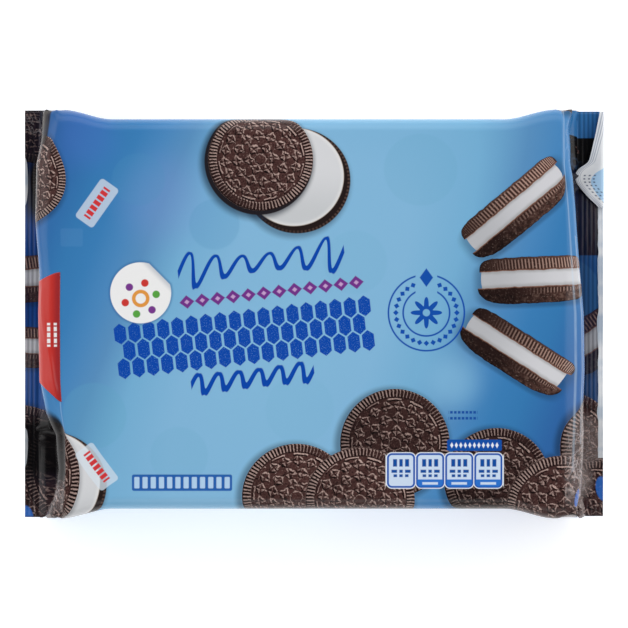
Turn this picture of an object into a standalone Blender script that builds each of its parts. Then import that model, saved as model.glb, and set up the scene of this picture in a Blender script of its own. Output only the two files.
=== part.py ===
"""Shut flow-wrapped tray pack of sandwich biscuits, lying flat with its printed face up.

The pack is one sealed body that can't be seen into, so it is one solid: a film tube drawn
round a tray, tucked in at both sides of each end, and closed by a crimped fin at each end
and a folded seam along the back. A thin red pull tab lies over the left end edge.

Metres, +Z up. +X runs along the pack, from the tab end to the other, and +Y across it.
The origin is at the middle of the footprint, on the surface that the pack lies on.
"""
import math

import bpy
from mathutils import Vector

# Driving sizes
LENGTH = 0.2262             # over the cut edges of both end fins
WIDTH = 0.1512              # over the film on the tray's long sides
HEIGHT = 0.0450             # from the surface to the printed face
FIN_WIDTH = 0.1587          # of the film at the end fins

# Ends of the tray under the film, and how each end's fin leaves it
RIGHT_END = 0.1020
LEFT_END = -0.1060
RIGHT_DROOP = math.radians(14)      # the fin's slope below level
LEFT_DROOP = math.radians(48)
RIGHT_WAVE = 0.0011                 # how far the fin's cut edge waves up and down
LEFT_WAVE = 0.0007
WAVES_PER_FIN = 2.5

# Film over the tray's edges
END_EDGE_RADIUS = 0.0042
SIDE_EDGE_RADIUS = 0.0040

# Ears, where the tucked film spreads wider than the tray
FLARE_LENGTH = 0.0200       # over which the sides spread to the fin's width
FLARE_FULL = 0.0065         # how far inside the tray's end they are fully spread
TUCK_DEPTH = 0.0150         # of the side fold pushed in behind the ears
EAR_FOLD = 0.58             # height of the ear's fold, as a share of the half height
BODY_FOLD = 1 - SIDE_EDGE_RADIUS / (HEIGHT / 2)

# Crimped fin
FIN_THICKNESS = 0.0012      # four layers of film with their crimps
FIN_ROOT_RUN = 0.0030       # from the tray's end to the first crimp
CRIMP_PITCH = 0.0015
CRIMP_DEPTH = 0.0005

# Underside: film drawn slightly up between two resting bands, and the seam folded flat on it
BACK_HOLLOW = 0.0012
SEAM_HALF_WIDTH = 0.0060
SEAM_EDGE = 0.0004          # run of the step at the seam's edges
HOLLOW_FULL = 0.0200        # from the middle line, where the hollow starts to run out
REST_BAND = 0.0460          # from the middle line, where the resting band starts

# Pull tab
TAB_GAP = 0.0003
TAB_THICKNESS = 0.0004
TAB_REACH = 0.0080          # on the printed face, in from the tray's end
TAB_DROP = 0.0090           # down the end face
TAB_INNER = (-0.0340, 0.0162)       # its ends across the pack, on the printed face
TAB_OUTER = (-0.0270, 0.0125)       # and at its lower edge, on the end face

SHOULDER_STEPS = 5
EDGE_STEPS = 5
FACE_STEPS = 4
FLARE_STEPS = 7
TAB_ROWS = 16
TAB_COLUMNS = 24


def smooth(t):
    """Ease from 0 to 1 with level ends."""
    t = min(1.0, max(0.0, t))
    return t * t * (3 - 2 * t)


def panel_shares():
    """Places across the printed face and the back, as shares of the flat half width."""
    flat = WIDTH / 2 - SIDE_EDGE_RADIUS
    inner = [0.0, SEAM_HALF_WIDTH, SEAM_HALF_WIDTH + SEAM_EDGE, HOLLOW_FULL]
    run_out = [HOLLOW_FULL + (REST_BAND - HOLLOW_FULL) * k / 3 for k in (1, 2, 3)]
    return [y / flat for y in inner + run_out] + [0.85]


def back_hollow(y):
    """How far the underside lies above the resting plane, with the seam standing down to it."""
    if abs(y) <= SEAM_HALF_WIDTH + SEAM_EDGE / 4:
        return 0.0
    return BACK_HOLLOW * (1 - smooth((abs(y) - HOLLOW_FULL) / (REST_BAND - HOLLOW_FULL)))


def quarter(half_height, flat, fold, tuck):
    """Half of the printed side of one section: (y, height over the middle level), from the
    middle line over the ear's fold to the tucked side."""
    points = [(share * flat, half_height) for share in panel_shares()]
    fold_y, fold_h = fold
    for step in range(SHOULDER_STEPS + 1):
        t = step / SHOULDER_STEPS
        start, bend, end = (1 - t) ** 2, 2 * t * (1 - t), t * t
        y = start * flat + (bend + end) * fold_y
        h = (start + bend) * half_height + end * fold_h
        points.append((y, h))
    points.append(((fold_y + tuck) / 2, fold_h / 2))
    return points + [(tuck, 0.0)]


def ring(station):
    """One closed section in world space, counter-clockwise as seen from +X."""
    half = quarter(station["half_height"], station["flat"], station["fold"], station["tuck"])
    top = [(y, h) for y, h in half]
    back = [(y, -h + station["back"] * back_hollow(y)) for y, h in reversed(half[:-1])]
    right_side = top + back
    left_side = [(-y, h) for y, h in reversed(right_side[1:-1])]
    mid_x, mid_z = station["mid"]
    slope = station["slope"]
    wave = station["wave"]
    corners = []
    for y, h in right_side + left_side:
        lift = wave * math.sin(2 * math.pi * WAVES_PER_FIN * y / FIN_WIDTH + 0.8)
        corners.append(Vector((mid_x - math.sin(slope) * h, y,
                               mid_z + math.cos(slope) * h + lift)))
    return corners


def station(x, half_height, flare=0.0, fold=BODY_FOLD, tuck=0.0, back=1.0, flat_inset=0.0):
    """A section square to X; lengths in from the tray's box."""
    half_width = WIDTH / 2
    return {
        "mid": (x, HEIGHT / 2), "slope": 0.0, "wave": 0.0, "half_height": half_height,
        "flat": half_width - SIDE_EDGE_RADIUS - flat_inset,
        "fold": (half_width + flare, half_height * fold),
        "tuck": half_width - tuck, "back": back,
    }


def end_stations(tray_end, droop, wave):
    """Sections from the straight body out to the cut edge of one fin."""
    side = 1 if tray_end > 0 else -1
    reach = abs(tray_end)
    full_flare = (FIN_WIDTH - WIDTH) / 2
    half = HEIGHT / 2
    rows = []

    # The long sides spread into ears, as the fold line comes down from the face
    start = reach - FLARE_FULL - FLARE_LENGTH
    stop = reach - END_EDGE_RADIUS
    for step in range(FLARE_STEPS + 1):
        x = start + (stop - start) * step / FLARE_STEPS
        spread = smooth((x - start) / FLARE_LENGTH)
        fold = BODY_FOLD + (EAR_FOLD - BODY_FOLD) * smooth((x - start) / (reach - start))
        rows.append(station(side * x, half, full_flare * spread, fold))

    # Round the tray's end edge, and down its face to the fin
    for step in range(1, EDGE_STEPS + 1):
        turn = math.pi / 2 * step / EDGE_STEPS
        x = stop + END_EDGE_RADIUS * math.sin(turn)
        height = half - END_EDGE_RADIUS * (1 - math.cos(turn))
        rows.append(station(side * x, height, full_flare, EAR_FOLD,
                            tuck=0.002 * step / EDGE_STEPS, back=math.cos(turn),
                            flat_inset=0.004 * step / EDGE_STEPS))
    face_top = half - END_EDGE_RADIUS
    face_foot = 0.0022
    for step in range(1, FACE_STEPS + 1):
        t = step / FACE_STEPS
        height = face_top + (face_foot - face_top) * t
        x = reach + FIN_ROOT_RUN * 0.75 * t ** 2.2
        rows.append(station(side * x, height, full_flare, EAR_FOLD * (1 - 0.25 * t),
                            tuck=0.002 + (TUCK_DEPTH - 0.002) * t, back=0.0, flat_inset=0.004))

    # The crimped fin, drooping to its cut edge
    root = reach + FIN_ROOT_RUN
    tip = LENGTH / 2 - FIN_THICKNESS / 2 * math.sin(droop)
    run = (tip - root) / math.cos(droop)
    count = 2 * round(run / CRIMP_PITCH)
    for step in range(count + 1):
        along = run * step / count
        bend = droop * smooth(along / (2 * CRIMP_PITCH)) if step else 0.0
        crimp = CRIMP_DEPTH * (step % 2) * (1 if 0 < step < count else 0)
        x = root + along * math.cos(droop)
        z = HEIGHT / 2 - along * math.sin(droop) + crimp
        rows.append({
            "mid": (side * x, z), "slope": -side * bend, "wave": wave * (step / count) ** 2,
            "half_height": FIN_THICKNESS / 2, "flat": WIDTH / 2 - 2 * SIDE_EDGE_RADIUS,
            "fold": (FIN_WIDTH / 2, FIN_THICKNESS / 2), "tuck": FIN_WIDTH / 2, "back": 0.0,
        })
    return rows


def film_material(name, color, roughness):
    """Printed plastic film, a little glossy."""
    material = bpy.data.materials.new(name)
    material.use_nodes = True
    shader = material.node_tree.nodes["Principled BSDF"]
    shader.inputs["Base Color"].default_value = (*color, 1)
    shader.inputs["Roughness"].default_value = roughness
    shader.inputs["Metallic"].default_value = 0.0
    return material


def add_mesh(name, vertices, faces, collection, material):
    mesh = bpy.data.meshes.new(name)
    mesh.from_pydata(vertices, [], faces)
    mesh.materials.append(material)
    mesh.validate()
    mesh.shade_smooth()
    mesh.set_sharp_from_angle(angle=math.radians(40))
    built = bpy.data.objects.new(name, mesh)
    collection.objects.link(built)
    return built


def loft(rings):
    """Side faces between closed rings, and both ends closed by strips across their thickness."""
    size = len(rings[0])
    faces = []
    for row in range(len(rings) - 1):
        for k in range(size):
            nxt = (k + 1) % size
            low, high = row * size, (row + 1) * size
            faces.append((low + k, high + k, high + nxt, low + nxt))
    # A ring runs down its +Y side and back up its -Y side, so point k faces point half - k
    half = size // 2
    for row, outward in ((0, True), (len(rings) - 1, False)):
        base = row * size
        for k in range(half // 2):
            for a, b in ((k, k + 1), (-k - 1, -k)):
                corners = (a, b, half - b, half - a)
                corners = [base + c % size for c in corners]
                if len(set(corners)) < 4:
                    corners = list(dict.fromkeys(corners))
                faces.append(corners if outward else corners[::-1])
    return faces


def build_pack(collection):
    left = end_stations(LEFT_END, LEFT_DROOP, LEFT_WAVE)
    right = end_stations(RIGHT_END, RIGHT_DROOP, RIGHT_WAVE)
    rings = [ring(row) for row in reversed(left)] + [ring(row) for row in right]
    vertices = [corner for section in rings for corner in section]
    film = film_material("printed_film", (0.29, 0.53, 0.75), 0.32)
    return add_mesh("pack", vertices, loft(rings), collection, film)


def tab_path():
    """The film's outline in XZ under the tab: (x, z, outward normal), from the printed face
    round the left end edge and down the end face."""
    bend_x = LEFT_END + END_EDGE_RADIUS
    bend_z = HEIGHT - END_EDGE_RADIUS
    flat_run = TAB_REACH - END_EDGE_RADIUS
    arc_run = END_EDGE_RADIUS * math.pi / 2
    total = flat_run + arc_run + TAB_DROP - END_EDGE_RADIUS
    path = []
    for row in range(TAB_ROWS + 1):
        along = total * row / TAB_ROWS
        if along < flat_run:
            path.append((bend_x + flat_run - along, HEIGHT, 0.0, 1.0))
        elif along < flat_run + arc_run:
            turn = (along - flat_run) / END_EDGE_RADIUS
            path.append((bend_x - END_EDGE_RADIUS * math.sin(turn),
                         bend_z + END_EDGE_RADIUS * math.cos(turn),
                         -math.sin(turn), math.cos(turn)))
        else:
            path.append((LEFT_END, bend_z - (along - flat_run - arc_run), -1.0, 0.0))
    return path


def build_pull_tab(collection):
    """An open sheet a little off the film, thickened outwards."""
    vertices = []
    for row, (x, z, normal_x, normal_z) in enumerate(tab_path()):
        t = row / TAB_ROWS
        low = TAB_INNER[0] + (TAB_OUTER[0] - TAB_INNER[0]) * smooth(t)
        high = TAB_INNER[1] + (TAB_OUTER[1] - TAB_INNER[1]) * smooth(t)
        for column in range(TAB_COLUMNS + 1):
            y = low + (high - low) * column / TAB_COLUMNS
            vertices.append((x + normal_x * TAB_GAP, y, z + normal_z * TAB_GAP))
    width = TAB_COLUMNS + 1
    faces = []
    for row in range(TAB_ROWS):
        for column in range(TAB_COLUMNS):
            first = row * width + column
            faces.append((first, first + 1, first + 1 + width, first + width))
    label = film_material("red_label", (0.52, 0.06, 0.06), 0.38)
    tab = add_mesh("pull_tab", vertices, faces, collection, label)
    skin = tab.modifiers.new("label thickness", "SOLIDIFY")
    skin.thickness = TAB_THICKNESS
    skin.offset = 1
    skin.use_even_offset = True
    return tab


for leftover in list(bpy.data.objects):
    bpy.data.objects.remove(leftover)
biscuit_pack = bpy.data.collections.new("biscuit_pack")
bpy.context.scene.collection.children.link(biscuit_pack)
build_pack(biscuit_pack)
build_pull_tab(biscuit_pack)
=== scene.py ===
import ast
import math

import bpy
import numpy as np
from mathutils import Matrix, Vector


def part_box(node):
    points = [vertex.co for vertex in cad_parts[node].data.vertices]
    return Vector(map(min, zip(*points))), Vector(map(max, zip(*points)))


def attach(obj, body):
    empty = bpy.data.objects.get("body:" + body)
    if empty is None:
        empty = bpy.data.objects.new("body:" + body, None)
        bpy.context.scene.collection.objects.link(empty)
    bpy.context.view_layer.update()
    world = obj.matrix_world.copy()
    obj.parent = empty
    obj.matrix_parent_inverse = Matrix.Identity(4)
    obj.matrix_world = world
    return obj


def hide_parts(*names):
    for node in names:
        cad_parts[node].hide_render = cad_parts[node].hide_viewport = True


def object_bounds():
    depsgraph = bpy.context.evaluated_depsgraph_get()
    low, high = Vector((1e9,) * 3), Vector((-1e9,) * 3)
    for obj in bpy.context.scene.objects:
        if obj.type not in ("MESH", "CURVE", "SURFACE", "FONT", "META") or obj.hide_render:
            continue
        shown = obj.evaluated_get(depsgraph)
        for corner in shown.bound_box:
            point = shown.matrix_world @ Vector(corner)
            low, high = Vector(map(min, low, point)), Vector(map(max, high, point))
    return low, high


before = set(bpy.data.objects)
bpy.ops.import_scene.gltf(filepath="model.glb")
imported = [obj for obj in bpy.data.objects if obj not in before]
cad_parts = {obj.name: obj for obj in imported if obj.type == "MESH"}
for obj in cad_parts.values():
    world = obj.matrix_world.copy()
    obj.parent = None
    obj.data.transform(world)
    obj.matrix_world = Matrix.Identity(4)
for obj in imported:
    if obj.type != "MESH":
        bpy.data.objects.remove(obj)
cad_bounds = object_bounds()

# ---- The film -------------------------------------------------------------------------
# One sheet of printed polypropylene film, drawn round a tray into a tube. Its sides are
# tucked in at both ends and each end is pressed flat between crimping jaws. The film hardly
# stretches, so it is worked out as a net whose threads keep their lengths. All in mm.

MM = 0.001
pack_low, pack_high = (np.array(corner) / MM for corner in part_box("pack"))
FACE_HEIGHT = pack_high[2]
FIN_HALF_WIDTH = pack_high[1]
CUT_EDGE = pack_high[0]             # of each fin, from the middle
FIN_LEVEL = FACE_HEIGHT / 2
FILM_GAP = 0.3                      # between the tray and the film's outer face
TRAY_HALF_WIDTH = 75.6 - FILM_GAP
TRAY_EDGE = 3.8                     # rounding of the tray's edges

COLUMNS = 384                       # round the tube
FOLD_COLUMN = 79                    # where the tucked side folds at the fins
THREAD = FIN_HALF_WIDTH / FOLD_COLUMN
QUARTER = COLUMNS // 4              # columns from the middle of a face to the middle of a side


class End:
    """One end of the tray, and the fin that closes the film over it."""

    def __init__(self, side, tray, droop, drop, wave, pinches):
        self.side = side            # +1 for the end at +X
        self.tray = tray            # from the middle to the tray's end
        self.droop = math.radians(droop)
        self.drop = drop            # film from the tray's end edge to the fin
        self.wave = wave            # how far the cut edge waves up and down
        self.pinches = pinches      # (y, how far the film is gathered there, width)
        self.root = tray + 2.4
        self.run = (CUT_EDGE - 0.4 - self.root) / math.cos(self.droop)


LEFT = End(-1, 105.0 - FILM_GAP, 4, 22.6, 0.8, [(-46.0, 2.6, 5.0), (33.0, 0.9, 4.0)])
RIGHT = End(1, 100.6 - FILM_GAP, 4, 21.9, 1.1, [(-55.0, 2.4, 5.0), (52.0, 1.6, 6.0)])


def layout(columns):
    """For columns counted from the middle of the printed face: columns to the nearer face's
    middle, the side across the pack, and +1 over the fin's level or -1 under it."""
    turn = columns % COLUMNS
    across = np.where(turn <= COLUMNS / 2, 1.0, -1.0)
    half = np.where(turn <= COLUMNS / 2, turn, COLUMNS - turn)
    near = np.minimum(half, COLUMNS / 2 - half)
    over = np.sign(QUARTER - half)
    return near, across, over


def fin_sheet(end, along, columns):
    """Points of the pressed fin, `along` mm from its root."""
    near, across, over = layout(columns)
    y = np.where(near <= FOLD_COLUMN, near, 2 * FOLD_COLUMN - near) * THREAD * across
    for place, gather, width in end.pinches:
        y = y - gather * np.tanh((y - place) / width) * np.exp(-((y - place) / (4 * width)) ** 2)
    layer = np.where(near <= FOLD_COLUMN, 0.42, 0.14) * over
    share = along / end.run
    bend = end.droop * min(1.0, max(0.0, along / 2.0))
    lift = end.wave * share ** 2 * np.sin(2 * np.pi * 2.5 * y / (2 * FIN_HALF_WIDTH) + 0.8)
    x = end.root + along * math.cos(bend) + layer * math.sin(bend)
    z = FIN_LEVEL - along * math.sin(bend) + layer * math.cos(bend) + lift
    return np.stack([np.broadcast_to(x * end.side, y.shape), y, z], axis=-1)


def wrapped_section(columns):
    """The film close round the tray: y and z of each column."""
    near, across, over = layout(columns)
    reach = near * THREAD
    flat = TRAY_HALF_WIDTH + FILM_GAP - TRAY_EDGE
    arc = TRAY_EDGE * math.pi / 2
    turn = np.clip((reach - flat) / arc, 0, 1) * math.pi / 2
    y = np.minimum(reach, flat) + TRAY_EDGE * np.sin(turn)
    side_run = np.maximum(reach - flat - arc, 0)
    full_side = QUARTER * THREAD - flat - arc
    depth = TRAY_EDGE * (1 - np.cos(turn))
    depth = depth + side_run * (FACE_HEIGHT / 2 - TRAY_EDGE) / full_side
    z = FACE_HEIGHT / 2 + over * (FACE_HEIGHT / 2 - depth)
    return y * across, z


def first_shape(rows, columns):
    """The film before it settles: wrapped along the tray, and run in to the fins."""
    body_y, body_z = wrapped_section(columns)
    net = np.zeros((len(rows), len(columns), 3))
    pinned = np.zeros(len(rows), bool)
    for i, along in enumerate(rows):
        end = RIGHT if along > 0 else LEFT
        past = abs(along) - end.tray
        if past <= 0:
            net[i] = np.stack([np.full_like(body_y, along), body_y, body_z], axis=-1)
        elif past >= end.drop:
            net[i] = fin_sheet(end, past - end.drop, columns)
            pinned[i] = True
        else:
            share = past / end.drop
            ease = share * share * (3 - 2 * share)
            foot = fin_sheet(end, 0.0, columns)
            x = np.full_like(body_y, end.side * (end.tray + 1 + (end.root - end.tray - 1) * share))
            y = body_y * (1 - ease) + foot[:, 1] * ease
            z = body_z * (1 - share) + foot[:, 2] * share
            net[i] = np.stack([x, y, z], axis=-1)
    return net, pinned


def pull(a, b, free_a, free_b, length, firmness=1.0):
    """Bring the threads between two sets of knots to their length."""
    gap = b - a
    size = np.sqrt((gap * gap).sum(-1, keepdims=True)) + 1e-6
    total = np.maximum(free_a + free_b, 1e-6)
    move = gap * ((size - length) / size * firmness / total)
    a += move * free_a
    b -= move * free_b


def stiffen(net, free, amount):
    """Smooth out sharp bends."""
    def bend(knots):
        curve = 0.5 * (np.roll(knots, 1, 1) + np.roll(knots, -1, 1)) - knots
        curve[1:-1] += 0.5 * (knots[2:] + knots[:-2]) - knots[1:-1]
        return curve
    net -= amount * bend(bend(net)) * free


def swell(net, free, amount):
    """Push the film out a little, as the air inside does."""
    tangent = np.zeros_like(net)
    tangent[1:-1] = net[2:] - net[:-2]
    normal = np.cross(tangent, np.roll(net, -1, 1) - np.roll(net, 1, 1))
    normal /= np.linalg.norm(normal, axis=-1, keepdims=True) + 1e-6
    net += amount * normal * free


def keep_clear(net, free, columns):
    """Keep the film off the tray, each half on its side of the fin, and off the surface."""
    centre = np.array([(RIGHT.tray - LEFT.tray) / 2, 0, FACE_HEIGHT / 2])
    half = np.array([(RIGHT.tray + LEFT.tray) / 2, TRAY_HALF_WIDTH, FACE_HEIGHT / 2 - FILM_GAP])
    core = half - TRAY_EDGE
    offset = net - centre
    beyond = np.abs(offset) - core
    out = np.maximum(beyond, 0)
    size = np.linalg.norm(out, axis=-1)
    depth = size + np.minimum(beyond.max(-1), 0) - TRAY_EDGE - FILM_GAP
    direction = out * np.sign(offset) / np.maximum(size, 1e-6)[..., None]
    inner = size < 1e-6
    nearest = np.argmax(beyond, -1)
    steepest = np.zeros_like(net)
    sign = np.take_along_axis(np.sign(offset), nearest[..., None], -1)
    np.put_along_axis(steepest, nearest[..., None], sign, -1)
    direction = np.where(inner[..., None], steepest, direction)
    net -= direction * (np.minimum(depth, 0) * free[..., 0])[..., None]

    _, _, over = layout(columns)
    past = (net[..., 0] > RIGHT.tray) | (net[..., 0] < -LEFT.tray)
    z = net[..., 2]
    z = np.where(past & (over > 0), np.maximum(z, FIN_LEVEL + 0.15), z)
    z = np.where(past & (over < 0), np.minimum(z, FIN_LEVEL - 0.15), z)
    net[..., 2] = np.where(free[..., 0] > 0, np.clip(z, 0, FACE_HEIGHT), net[..., 2])


def keep_tucked(net, free, columns):
    """Keep each tucked side between the two faces of the film."""
    near, across, over = layout(columns)
    tucked = np.nonzero((near > FOLD_COLUMN) & (near < QUARTER))[0]
    step = columns[1] - columns[0]
    half = np.where(columns % COLUMNS <= COLUMNS / 2, columns % COLUMNS,
                    COLUMNS - columns % COLUMNS)
    mirror_half = np.where(half <= QUARTER, 2 * FOLD_COLUMN - half,
                           COLUMNS - 2 * FOLD_COLUMN - half)
    mirror = np.where(across > 0, mirror_half, COLUMNS - mirror_half)
    partner = (np.round(mirror / step).astype(int)) % len(columns)
    gap = 0.25 * over[tucked]
    face = net[:, partner[tucked], 2] - gap
    z = net[:, tucked, 2]
    held = np.where(over[tucked] > 0, np.minimum(z, face), np.maximum(z, face))
    net[:, tucked, 2] = np.where(free[:, tucked, 0] > 0, held, z)


def settle(net, pinned, columns, spacing, rounds, stiffness, air):
    """Let the net come to rest."""
    net = net.astype(np.float32)
    free = np.repeat(~pinned, net.shape[1]).reshape(net.shape[:2] + (1,)).astype(np.float32)
    width = (columns[1] - columns[0]) * THREAD
    diagonal = math.hypot(spacing, width)
    for _ in range(rounds):
        stiffen(net, free, stiffness)
        swell(net, free, air)
        for first in (0, 1):
            last = first + (len(net) - first) // 2 * 2
            a, b = slice(first, last, 2), slice(first + 1, last, 2)
            pull(net[a], net[b], free[a], free[b], spacing)
            turned = np.roll(net, -first, 1)
            turned_free = np.roll(free, -first, 1)
            pull(turned[:, ::2], turned[:, 1::2], turned_free[:, ::2], turned_free[:, 1::2], width)
            net = np.roll(turned, first, 1)
            for lean in (-1, 1):
                low, high = net[a], np.roll(net[b], lean, 1)
                pull(low, high, free[a], np.roll(free[b], lean, 1), diagonal, 0.4)
                net[a], net[b] = low, np.roll(high, -lean, 1)
        keep_tucked(net, free, columns)
        keep_clear(net, free, columns)
    return net


def net_rows(spacing):
    """Film lengths of the rows, from the middle: out to just past each fin's root."""
    right = math.ceil((RIGHT.tray + RIGHT.drop) / spacing) + 1
    left = math.ceil((LEFT.tray + LEFT.drop) / spacing) + 1
    return np.arange(-left, right + 1) * spacing


def finer(rows, net, new_rows, columns, new_columns):
    """The net read off at closer rows and columns."""
    closed = np.concatenate([net, net[:, :1]], axis=1)
    closed_columns = np.append(columns, COLUMNS)
    out = np.zeros((len(rows), len(new_columns), 3))
    for axis in range(3):
        for i in range(len(rows)):
            out[i, :, axis] = np.interp(new_columns, closed_columns, closed[i, :, axis])
    full = np.zeros((len(new_rows), len(new_columns), 3))
    for axis in range(3):
        for j in range(len(new_columns)):
            full[:, j, axis] = np.interp(new_rows, rows, out[:, j, axis])
    return full


COARSE, FINE = 2.0, 1.0             # spacing of the net's rows
rng = np.random.default_rng(11)
coarse_rows, coarse_columns = net_rows(COARSE), np.arange(0, COLUMNS, 2.0)
net, pinned = first_shape(coarse_rows, coarse_columns)
net += rng.normal(0, 0.06, net.shape) * ~pinned[:, None, None]
rounds = 300
net = settle(net, pinned, coarse_columns, COARSE, rounds, 0.05, 0.001)
fine_rows, fine_columns = net_rows(FINE), np.arange(0, COLUMNS, 1.0)
net = finer(coarse_rows, net, fine_rows, coarse_columns, fine_columns)
start, pinned = first_shape(fine_rows, fine_columns)
net[pinned] = start[pinned]
net = settle(net, pinned, fine_columns, FINE, 120, 0.04, 0.0005)

BODY_HALF_WIDTH = 75.6              # over the long sides, between the ears
EAR_START, EAR_LENGTH = 26.5, 20.0  # in from the tray's end, and along the pack


def smooth(value, low, high):
    """Ease from 0 at `low` to 1 at `high`, with level ends."""
    share = np.clip((value - low) / (high - low), 0, 1)
    return share * share * (3 - 2 * share)


def spread_ears(net, rows):
    """Near the ends the tucked film stands out past the tray in ears as wide as the fins."""
    for along, row in zip(rows, net):
        end = RIGHT if along > 0 else LEFT
        start = end.tray - EAR_START
        ear = smooth(abs(along), start, start + EAR_LENGTH)
        target = BODY_HALF_WIDTH + (FIN_HALF_WIDTH - BODY_HALF_WIDTH) * ear
        for across in (-1, 1):
            reach = row[:, 1] * across
            row[:, 1] += across * (target - reach.max()) * smooth(reach, 50, target - 2)


free_rows = ~pinned
net, net_lengths = net[free_rows], fine_rows[free_rows]
spread_ears(net, net_lengths)

# How far the film's top end edges stand out (+) or sink in (-): (place across, distance)
END_EDGE_LEFT = [(-79, -5.4), (-60, -7.6), (-47, -7.0), (-38, -3.4), (-26, -0.8), (0, -0.4),
                 (15, -0.8), (37, 0.8), (58, 0.6), (68, -1.6), (79, -3.4)]
END_EDGE_RIGHT = [(-79, 1.0), (-60, 1.2), (-40, 1.8), (-22, 2.4), (0, 2.0), (20, 0.3),
                  (40, -1.3), (58, -3.2), (79, -3.4)]


def shift_end_edges(net, rows):
    """The cookies inside end unevenly, so the film's end edges run unevenly too, and sink
    where nothing holds them up."""
    for along, row in zip(rows, net):
        end, edge = (RIGHT, END_EDGE_RIGHT) if along > 0 else (LEFT, END_EDGE_LEFT)
        reach = abs(along)
        share = float(smooth(reach, end.tray - (5 if along > 0 else 10), end.tray + 0.6))
        share *= 1 - float(smooth(reach, end.tray + end.drop - 5, end.tray + end.drop))
        upper = smooth(row[:, 2], FIN_LEVEL, FIN_LEVEL + 4)
        shift = np.interp(row[:, 1], *np.array(edge, float).T)
        near = smooth(reach, end.tray - 9, end.tray + 3)
        row[:, 0] += end.side * shift * share * upper
        row[:, 2] -= (0.5 * np.maximum(-shift - 1.5, 0) + 0.9 * np.maximum(shift, 0)) * upper * (
            share * near)


shift_end_edges(net, net_lengths)

TUCK = 0.7                          # how far inside the end walls the tucked sides lie


def tuck_sides(net, rows):
    """The tucked sides lie just inside the film's end walls."""
    near, _, _ = layout(fine_columns)
    inside = smooth(near, FOLD_COLUMN, FOLD_COLUMN + 4)
    for along, row in zip(rows, net):
        end = RIGHT if along > 0 else LEFT
        past = abs(along) - end.tray
        share = smooth(past, 1, 5) * (1 - smooth(past, end.drop - 3, end.drop))
        row[:, 0] -= end.side * TUCK * inside * share


tuck_sides(net, net_lengths)

BACK_HOLLOW = 1.2                   # how far the underside is drawn up in the middle


def hollow_back(net, rows):
    """The underside is drawn up along the middle, where the seam lies."""
    for along, row in zip(rows, net):
        end = RIGHT if along > 0 else LEFT
        under = slice(QUARTER + 20, COLUMNS - QUARTER - 20)
        lift = 1 - smooth(np.abs(row[under, 1]), 20, 46)
        lift *= 1 - smooth(abs(along), end.tray - 6, end.tray)
        row[under, 2] += BACK_HOLLOW * lift


hollow_back(net, net_lengths)

CRIMP_PITCH = 1.7
CRIMP_DEPTH = 0.04
ROWS_PER_CRIMP = 6


def crimped_fin(end):
    """Rows of the pressed fin from its root to its cut edge, with the jaws' grooves."""
    count = round(end.run / CRIMP_PITCH * ROWS_PER_CRIMP)
    rows, lengths = [], []
    for step in range(count + 1):
        along = end.run * step / count
        groove = math.cos(2 * math.pi * along / CRIMP_PITCH)
        groove *= CRIMP_DEPTH * float(smooth(along, 0.3, 1.6))
        sheet = fin_sheet(end, along, fine_columns)
        bend = end.droop * min(1.0, along / 2.0)
        sheet += np.array([end.side * math.sin(bend), 0, math.cos(bend)]) * groove
        rows.append(sheet)
        lengths.append(end.side * (end.tray + end.drop + along))
    return rows, lengths


left_fin, left_lengths = crimped_fin(LEFT)
right_fin, right_lengths = crimped_fin(RIGHT)
FLAT_ROWS_EVERY = 4                 # mm, along the straight body
straight = min(LEFT.tray, RIGHT.tray) - 32
kept = [i for i, along in enumerate(net_lengths)
        if abs(along) > straight or round(along) % FLAT_ROWS_EVERY == 0]
film_rows = np.array(left_fin[::-1] + [net[i] for i in kept] + right_fin)
film_lengths = np.array(left_lengths[::-1] + [net_lengths[i] for i in kept] + right_lengths)
film_rows[..., 0] = np.clip(film_rows[..., 0], -CUT_EDGE, CUT_EDGE)


def film_mesh(name, rows, lengths):
    """The tube as quads, its two cut edges closed, each corner carrying its place on the
    flat film in mm (x along, y across, z 1 on a cut edge) for the print to follow."""
    count = rows.shape[1]
    vertices = (rows.reshape(-1, 3) * MM).tolist()
    faces, places, bake = [], [], []
    low, high = lengths[0], lengths[-1]
    margin = 0.01
    half_girth = COLUMNS * THREAD / 2

    def corner(i, place):
        share = (lengths[i] - low) / (high - low)
        return (lengths[i], place, 0.0), (margin + (1 - 2 * margin) * share,
                                          margin + (1 - 2 * margin) * (place / half_girth / 2 + 0.5))

    for i in range(len(rows) - 1):
        for j in range(count):
            turn = 0 if j < count // 2 else -COLUMNS
            near, far = (j + turn) * THREAD, (j + 1 + turn) * THREAD
            k = (j + 1) % count
            faces.append((i * count + j, (i + 1) * count + j, (i + 1) * count + k, i * count + k))
            for row, place in ((i, near), (i + 1, near), (i + 1, far), (i, far)):
                film_place, bake_place = corner(row, place)
                places.append(film_place)
                bake.append(bake_place)
    for i, flip in ((0, True), (len(rows) - 1, False)):
        edge = 0.004 if i == 0 else 0.996
        inner = 0.008 if i == 0 else 0.992
        for j in range(-QUARTER, QUARTER):
            other = count // 2 - j
            quad = [(j, edge), (other, inner), (other - 1, inner), (j + 1, edge)]
            if j == -QUARTER:
                quad.pop(1)
            elif j == QUARTER - 1:
                quad.pop(2)
            if flip:
                quad = quad[::-1]
            faces.append([i * count + column % count for column, _ in quad])
            for column, across in quad:
                nearer = j if column in (j, other) else j + 1
                places.append((lengths[i], 0.0, 1.0))
                bake.append((across, 0.02 + 0.9 * (nearer + QUARTER) / COLUMNS))
    mesh = bpy.data.meshes.new(name)
    mesh.from_pydata(vertices, [], faces)
    film_place = mesh.attributes.new("film", "FLOAT_VECTOR", "CORNER")
    film_place.data.foreach_set("vector", np.array(places, np.float32).ravel())
    uv = mesh.uv_layers.new(name="OFBake")
    uv.data.foreach_set("uv", np.array(bake, np.float32).ravel())
    mesh.shade_smooth()
    piece = bpy.data.objects.new(name, mesh)
    bpy.context.collection.objects.link(piece)
    return piece


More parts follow.
